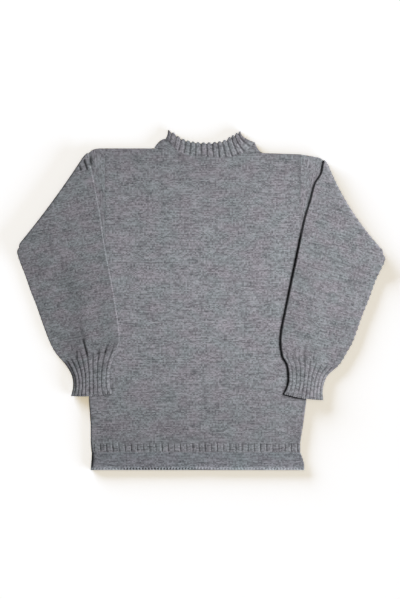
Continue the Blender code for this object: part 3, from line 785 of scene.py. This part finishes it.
def neckGusset(name, side):
    # a smooth triangle beside the collar, folded at the shoulder: two layers, front and back
    onLeft = side == "left"
    corner = np.array(body["shoulderLeft" if onLeft else "shoulderRight"])
    aside = np.array([-1 if onLeft else 1, -1]) * cloth["gap"]
    outerShare, slotShare, outerHeight = np.array(gusset["fold"]).T
    hollowHeight = np.where(outerHeight > 0, cloth["gap"] / 2, 0)
    row = np.linspace(0, 1, gusset["rows"])[:, None, None]
    grids = []
    for inward, height in ((outerShare, outerHeight), (slotShare, hollowHeight)):
        sheets = []
        for dip, sign in ((neck["frontDip"], 1), (neck["backDip"], -1)):
            part = inward * neck["gussetPart"]
            collarSide = neckSeam(part if onLeft else 1 - part, dip) + aside
            tipPart = neck["gussetPart"] if onLeft else 1 - neck["gussetPart"]
            panelSide = corner + (neckSeam([tipPart], dip)[0] - corner) * inward[:, None]
            places = panelSide + (collarSide - panelSide) * (gusset["start"] + (1 - gusset["start"]) * row)
            rise = 4 * row[..., 0] * (1 - row[..., 0]) * gusset["bulge"][side] * (1 - inward)
            places[..., 1] += rise + knitGap * (1 - row[..., 0])
            z = np.broadcast_to(half + sign * height, places.shape[:2])
            sheets.append(np.dstack([places, z]))
        grids.append(np.concatenate([sheets[0], sheets[1][:, -2::-1]], axis=1))
    return makeWall(name, grids[0], grids[1], False, grids[0][..., :2])


print("neck")
collarPiece = neckCollar("collar_cloth")
finish(collarPiece, wools["collar"], "collar")
for side in ("left", "right"):
    piece = neckGusset("neck_gusset_" + side + "_cloth", side)
    finish(piece, wools["body"], "neck_gusset_" + side)


# Sleeves: a flattened tube from the armhole, turned over along a fold from the shoulder tip to the
# elbow, then laid down over the front to the cuff

sleeves = {
    "left": {
        "topEdge": [(-213, 337), (-227, 337), (-240, 334), (-250, 326)],
        "underEdge": [(-213, 111.5), (-277, 109), (-344, 107), (-384, 106), (-397, 109), (-402, 118)],
        "innerEdge": [(-250, 326), (-240, 278), (-228, 218), (-214, 127), (-199, 48), (-185, -37),
                      (-180, -85), (-187, -111)],
        "outerEdge": [(-402, 118), (-407, 108), (-401.5, 87), (-390.5, 58), (-376.5, 18), (-366, -8),
                      (-352, -48), (-337, -88), (-323, -115), (-302, -140)],
        "cuffInner": [(-187, -111), (-196, -131), (-202, -159), (-202, -186), (-197, -206)],
        "cuffOuter": [(-302, -140), (-292, -155), (-286, -168), (-283.5, -182), (-284, -195), (-288, -212)],
        "underarmCorner": [(-213, 111), (-290, 107), (-249, 0)],
        "foldBow": 4.0,  # how far the fold bows out
        "courseTurn": 11.0,  # how far its courses rise to the right, in degrees
        "litEdge": 0.36,  # painted highlight along its inner edge; below 0, painted shadow there
        "foldBumps": 0.2,  # how far the rows stand out along the fold
        "decreases": 0.45,  # how far the decreases stand out along the underarm line
        "gathers": [26, 26, 24, 22, 26, 36, 34, 26, 20],  # reach above each rib of the cuff
        "creases": [  # from x, y, to x, y, half width, depth
            (-247, 318, -245, 298, 2.0, 1.6),
            (-260, 314, -251, 288, 2.3, 2.1),
            (-270, 301, -265, 286, 2.2, 1.8),
            (-267, -46, -260, -92, 6.0, 0.6),
            (-261, -86, -251.5, -123, 2.4, 2.0),
            (-276, -111, -273.5, -129, 2.2, 1.3),
            (-225, -105, -232, -126, 2.6, 0.8),
            (-205, -95, -214, -119, 2.6, 0.8),
        ],
        "earlyCreases": [(-244.5, 322, -244, 298, 2.4, 2.0)],  # the same on the part before the fold
    },
    "right": {
        "topEdge": [(221, 324), (242, 320.5), (263, 316.3), (272.5, 310)],
        "underEdge": [(221, 111.5), (287, 105), (353, 99), (384, 97.5), (397, 98), (402.5, 104)],
        "innerEdge": [(272.5, 310), (266, 281), (253, 260), (243, 224), (229.5, 178), (212, 94), (194, 9),
                      (179, -65), (177, -99), (181, -124)],
        "outerEdge": [(402.5, 104), (408, 92), (400, 71), (387.5, 45), (373, 5), (357, -35), (338, -88),
                      (323.5, -115), (310, -138), (297, -152)],
        "cuffInner": [(181, -124), (192, -144), (195, -175), (191, -193), (184, -207)],
        "cuffOuter": [(297, -152), (281, -167), (274, -182), (270.5, -197), (270, -208), (271.5, -221)],
        "underarmCorner": [(221, 111), (300, 104), (239, 0)],
        "foldBow": 12.0,
        "courseTurn": -15.0,
        "litEdge": -1.15,
        "foldBumps": 0.9,
        "decreases": 1.5,
        "gathers": [10, 10, 18, 10, 16, 12, 10, 10, 8],
        "creases": [
            (206, -105, 211, -137, 2.8, 0.6),
            (229, -99, 229, -139, 3.0, 0.6),
            (251, -105, 249, -143, 2.8, 0.6),
        ],
        "earlyCreases": [],
    },
}
sleeveMake = {
    "topSteps": [0, 0.3, 0.55, 0.8, 1],  # places of the rings along the top edge
    "underSteps": [0, 0.45, 0.87, 0.945, 1],  # and along the underarm edge, to the fold
    "outerSteps": [0, 0.055, 0.11] + list(np.linspace(0.165, 1, 14)),
    "seamPart": 0.9997,  # where it stops short of the cuff, as a share of its length
    "gatherDepth": 1.3,
    "gatherWidth": 0.15,  # as a part of a rib of the cuff
    "uneven": 0.13,
    "creaseDark": 1.7,  # depth of a crease whose bottom gets full painted shade
    "edgeLine": (1.3, 1.0),  # place and width of the painted line along the inner edge: a highlight on the left sleeve, a shadow on the right
    "ringsBefore": 16,
    "ringsFold": 12,
    "ringsAfter": 240,
    "columns": 112,  # across the side that shows after the fold
    "columnsUnder": 28,
    "foldTop": (0.5, 15.0),  # share that the fold draws in to at its top, and over what length
    "foldElbow": (0.45, 8.0),
    "decreasePitch": 12.0,
    "decreaseWidth": 4.0,
}


def support(side):
    # outlines of what a folded sleeve lies on: the body, its own part before the fold, and the
    # corner under the arm, which the cloth bridges
    trunk = [(left, y) for y, left, right in bodySides] + [(right, y) for y, left, right in bodySides[::-1]]
    s = sleeves[side]
    return [trunk, s["topEdge"] + s["underEdge"][::-1], s["underarmCorner"]]


def drape(places, side):
    # height of a folded sleeve's underside: on its support, or down on the surface beside it
    clear = outside(places, support(side)) - cloth["drapeStart"]
    return lift * (1 - smooth(clear / cloth["drapeRun"]))


def ringPlaces(starts, ends, across, bow):
    # places at distances along each ring's line, bowed sideways by bow at its middle
    way = ends - starts
    width = norm(way, axis=1)
    normal = np.stack([way[:, 1], -way[:, 0]], axis=-1) / width[:, None]
    part = across / width[:, None]
    lean = 4 * part * (1 - part) * bow[:, None]
    return starts[:, None] + way[:, None] * part[..., None] + normal[:, None] * lean[..., None]


def crowded(part, side):
    # number of ribs up to a part of a cuff's width: part * (1 - c + c * part) of them all
    return part * (1 - cuffs["crowd"][side] * (1 - part)) * 0.99999 * cuffs["ribs"]


def sleeve(name, side):
    # before the fold z = half + h, through it the height turns about the fold's axis, and after it
    # z = drape + half - h; h is half the tube's height, less creases and unevenness on the top layer
    s, make = sleeves[side], sleeveMake
    sign = -1 if side == "left" else 1
    before = np.linspace(0, 1, make["ringsBefore"])
    after = np.linspace(0, 1, make["ringsAfter"])[1:]
    even5, even17 = np.linspace(0, 1, 5), np.linspace(0, 1, 17)
    top = along(s["topEdge"], np.interp(before, even5, make["topSteps"]))
    under = along(s["underEdge"], np.interp(before, even5, make["underSteps"]))
    inner = along(s["innerEdge"], after * make["seamPart"])
    outer = along(s["outerEdge"], np.interp(after, even17, make["outerSteps"]) * make["seamPart"])
    folds = np.linspace(0, np.pi, make["ringsFold"])[1:]
    starts = np.vstack([top, np.repeat(top[-1:], len(folds), axis=0), inner])
    ends = np.vstack([under, np.repeat(under[-1:], len(folds), axis=0), outer])
    turn = np.concatenate([0 * before, folds, 0 * after + np.pi])
    bow = sign * s["foldBow"] * np.concatenate([before, 0 * folds + 1, np.clip(1 - 4 * after, 0, 1)])
    foldWay = under[-1] - top[-1]
    away = sign * np.array([-foldWay[1], foldWay[0]]) / norm(foldWay)
    width = norm(ends - starts, axis=1)
    turned = turn[:, None]
    isAfter = turned > np.pi - 0.001
    grids = []
    for edge in (edgeSteps, slotSteps):
        across, isOver = roundTube(width, edge, make["columns"], make["columnsUnder"])
        places = ringPlaces(starts, ends, across, bow)
        if edge is edgeSteps:
            inward = np.minimum(across, width[:, None] - across)
            height = edgeHeight(inward)
            uneven = make["uneven"] * (1 + ripples(*places.T, 31 + sign, 16, 60, 1.8).T)
            rib = crowded(np.clip((across - half) / (width[:, None] - 2 * half), 0, 0.9999), side)
            reach = np.array(s["gathers"], float)[rib.astype(int)]
            above = (norm(np.diff(inner, axis=0), axis=1).sum() * (1 - after))[:, None]
            above = np.concatenate([np.full((len(turn) - len(after), 1), 1000.0), above])
            gather = ribGroove(rib % 1, make["gatherWidth"]) * (1 - smooth(above / reach))
            crease = troughs(places, s["creases"]) + make["gatherDepth"] * gather
            sunk = crease + uneven * smooth(inward / 10) * smooth(above / 12)
            height = height - isOver * isAfter * np.minimum(sunk, height * 0.8)
            early = troughs(places, s["earlyCreases"]) * ~isOver * (turned == 0)
            height = height - np.minimum(early, height * 0.8)
            # painted shade in the creases and gathers, and a painted line along the inner edge: a highlight
            # on the left sleeve, a shadow on the right
            place, lineWidth = make["edgeLine"]
            lit = s["litEdge"] * bell(across - place, lineWidth)
            hollow = isOver * isAfter * (crease / make["creaseDark"] - lit)
            hollow = hollow + early / make["creaseDark"]
            down = norm(np.diff(ends, axis=0, prepend=ends[:1]), axis=1).cumsum()[:, None]
            knob = np.abs(np.sin(np.pi * down / make["decreasePitch"])) ** 3
            push = s["decreases"] * knob * bell(width[:, None] - across, make["decreaseWidth"])
            places = places + ((ends - starts) / width[:, None])[:, None] * push[..., None]
        else:
            height = slotHeight(across, width[:, None])
        height = np.where(isOver, -height, height)
        radius = half + cloth["gap"] / 2 - height
        z = np.where(turned == 0, half + height, half + cloth["gap"] / 2 + half - radius * np.cos(turned))
        unfolded = places + away * ((np.pi - turned) * (half + cloth["gap"] / 2))[..., None]
        toFold = ((top[-1] - places) @ away)[..., None]
        unfolded = unfolded + np.where(turned[..., None] == 0, 2 * toFold * away, 0)
        drawn = 1
        for key, distance in (("foldTop", across), ("foldElbow", width[:, None] - across)):
            least, run = make[key]
            drawn = drawn * (least + (1 - least) * smooth(distance / run))
        bumps = s["foldBumps"] * np.abs(np.sin(np.pi * across / make["decreasePitch"])) ** 3
        places = places + away * ((radius * drawn + bumps) * np.sin(turned))[..., None]
        z = np.where(isAfter, z - lift + drape(places, side), z)
        grids.append(np.dstack([places, z]))
        if edge is edgeSteps:
            angle = np.radians(s["courseTurn"])
            u = unfolded[..., 0] * np.cos(angle) + unfolded[..., 1] * np.sin(angle)
            v = -unfolded[..., 0] * np.sin(angle) + unfolded[..., 1] * np.cos(angle)
            uv = np.dstack([u, v])
    return makeWall(name, grids[0], grids[1], True, uv, hollow)


cuffs = {
    "ribs": 9,
    "ribColumns": 12,
    "underColumns": 40,
    "ribRaise": 0.3,
    "ribWidth": 0.16,  # of its groove, as a part of the rib
    "ribDepth": {"left": 1.55, "right": 1.25},
    "ribDark": 0.44,  # shadow in a groove for each millimetre of depth
    "crowd": {"left": 0.25, "right": 0.1},  # how much closer its ribs are at the outer edge
    "softEdge": {"left": 8.0, "right": 1.0},  # over what width its inner edge rises
    "innerDark": {"left": 0.0, "right": 1.15},  # shadow along its inner and outer edges
    "outerDark": {"left": 0.8, "right": 0.0},
    "innerPlace": (1.3, 1.2),  # how far in from the edge the shadow is, and its width
    "outerPlace": (3, 4.5),
    "beadPitch": 4.8,  # of the knots of the cast-off rim
    "beadOut": 0.7,
    "beadDark": (0.7, 0.5),  # painted shade between knots, and painted highlight on them
    "rimSag": 3.0,
    "rings": 46,
    "length": 76.0,
}


def cuff(name, side):
    # a flattened ribbed tube: height = raise - depth * V groove on the side that shows, and beads
    # |sin(pi across / pitch)| along its cast-off rim
    s = sleeves[side]
    step = np.linspace(0, 1, cuffs["rings"]) ** 0.9
    step = np.concatenate([[0.0005, 0.01, 0.022], step[2:-2], [0.965, 0.98, 0.99, 0.996, 1]])
    starts, ends = along(s["cuffInner"], step), along(s["cuffOuter"], step)
    width = norm(ends - starts, axis=1)
    down = step[:, None]
    grids = []
    for edge in (edgeSteps, slotSteps):
        across, isOver = roundTube(width, edge, cuffs["ribs"] * cuffs["ribColumns"], cuffs["underColumns"])
        part = across / width[:, None]
        places = ringPlaces(starts, ends, across, 0 * step)
        places[..., 1] -= 4 * cuffs["rimSag"] * down * part * (1 - part)
        if edge is edgeSteps:
            rib = crowded(np.clip((across - half) / (width[:, None] - 2 * half), 0, 1), side)
            inRibs = smooth(np.minimum(rib, cuffs["ribs"] - rib) / 0.3)
            groove = ribGroove(rib % 1, cuffs["ribWidth"]) * inRibs * (0.78 + 0.22 * part)
            relief = cuffs["ribRaise"] * inRibs - cuffs["ribDepth"][side] * groove
            fade = 1 - 0.3 * smooth((down - 0.94) / 0.06)
            height = edgeHeight(np.minimum(across, width[:, None] - across))
            height = height + np.where(isOver, relief, 0.0) * fade
            bead = np.abs(np.sin(np.pi * across / cuffs["beadPitch"]))
            rim = bell(1 - down, 0.03)
            height = height * np.where(isOver, 1 - rim * (0.45 - 0.2 * bead), 1)
            height = height * np.where(isOver, 0.4 + 0.6 * smooth(across / cuffs["softEdge"][side]), 1)
            places[..., 1] -= (bead - 0.5) * cuffs["beadOut"] * rim
            uv = np.dstack(np.broadcast_arrays(across, down * cuffs["length"]))
        else:
            height = slotHeight(across, width[:, None])
        z = drape(places, side) + half + np.where(isOver, height, -height)
        grids.append(np.dstack([places, z]))
    # painted shade in the grooves, between the rim's knots and along the edges, and painted highlights on
    # the knots
    hollow = cuffs["ribDark"] * cuffs["ribDepth"][side] * groove * (1.12 - 0.35 * down)
    between, onBead = cuffs["beadDark"]
    hollow = hollow + rim * (between * (1 - bead) - onBead * bead)
    place, spread = cuffs["outerPlace"]
    outer = bell(width[:, None] - across - place, spread) * (1 - smooth(down * 3 - 1.9))
    place, spread = cuffs["innerPlace"]
    inner = bell(across - place, spread)
    hollow = hollow + cuffs["outerDark"][side] * outer + cuffs["innerDark"][side] * inner
    return makeWall(name, grids[0], grids[1], True, uv, hollow * isOver)


print("sleeves and cuffs")
for side in ("left", "right"):
    piece = sleeve("sleeve_" + side + "_cloth", side)
    finish(piece, wools[side], "sleeve_" + side)
    piece = cuff("cuff_" + side + "_cloth", side)
    finish(piece, wools["rib"], "cuff_" + side)


# Floor, light and camera

studio = {
    "floor": (0.93, 0.93, 0.93),
    "floorGlow": (0.44, 0.362, 0.216),  # with the lights it keeps the paper white, and shadows warm
    "floorSize": 50.0,
    "floorHeight": -0.0003,
    "world": 0.22,
    "worldBelow": 0.05,
    "lights": {  # place, size, power, colour, and what it lights
        "key": ((1.9, 0.5, 1.8), (0.7, 0.7), 105, (1.0, 1.0, 1.0), "jumper"),
        "paper": ((-12.5, 12.5, 1.93), (17.0, 3.9), 14050, (0.625, 0.75, 1.0), "paper"),
        "paperBack": ((13.9, -8.0, 1.75), (17.0, 3.6), 5830, (0.625, 0.75, 1.0), "paper"),
    },
    "lens": 85,
    "cameraPlace": (-0.002, 0.002, 3.14),
}


def makeFloor():
    side = studio["floorSize"] / 2
    corners = [(-side, -side), (side, -side), (side, side), (-side, side)]
    mesh = bpy.data.meshes.new("floor")
    mesh.from_pydata([(x, y, studio["floorHeight"]) for x, y in corners], [], [(0, 1, 2, 3)])
    floor = addObject("floor", mesh)
    bench = Bench("floor_paper")
    bench.set({"Base Color": (*studio["floor"], 1), "Roughness": 0.9, "Specular IOR Level": 0.0,
               "Emission Color": (*studio["floorGlow"], 1), "Emission Strength": 1.0})
    mesh.materials.append(bench.material)
    floor.visible_diffuse = False
    return floor


def makeLights(floor):
    # the key light models the wool, and two low wide ones light the paper: its shadow lies mostly
    # below and to the right of the jumper
    lit = {"paper": bpy.data.collections.new("paper"), "jumper": bpy.data.collections.new("jumper")}
    lit["paper"].objects.link(floor)
    for piece in bpy.data.objects:
        if piece.name.endswith("_cloth"):
            lit["jumper"].objects.link(piece)
    world = bpy.data.worlds.new("studio")
    world.use_nodes = True
    nodes, links = world.node_tree.nodes, world.node_tree.links
    nodes["Background"].inputs["Color"].default_value = (1, 1, 1, 1)
    where = nodes.new("ShaderNodeTexCoord")
    split = nodes.new("ShaderNodeSeparateXYZ")
    span = nodes.new("ShaderNodeMapRange")
    for number, value in enumerate((-0.05, 0.05, studio["worldBelow"], studio["world"])):
        span.inputs[number + 1].default_value = value
    links.new(where.outputs["Generated"], split.inputs[0])
    links.new(split.outputs[2], span.inputs["Value"])
    links.new(span.outputs[0], nodes["Background"].inputs["Strength"])
    bpy.context.scene.world = world
    for name, (place, size, power, colour, receiver) in studio["lights"].items():
        lamp = bpy.data.lights.new(name, "AREA")
        lamp.shape = "ELLIPSE"
        lamp.size, lamp.size_y = size
        lamp.energy, lamp.color = power, colour
        light = addObject(name, lamp)
        light.location = place
        light.rotation_euler = (-light.location).to_track_quat("-Z", "Y").to_euler()
        light.light_linking.receiver_collection = lit[receiver]


def makeCamera():
    lens = bpy.data.cameras.new("camera")
    lens.lens = studio["lens"]
    lens.sensor_width = 36
    camera = addObject("camera", lens)
    camera.location = studio["cameraPlace"]
    bpy.context.scene.camera = camera


print("studio")
makeLights(makeFloor())
makeCamera()
bpy.context.scene.view_settings.view_transform = "Standard"
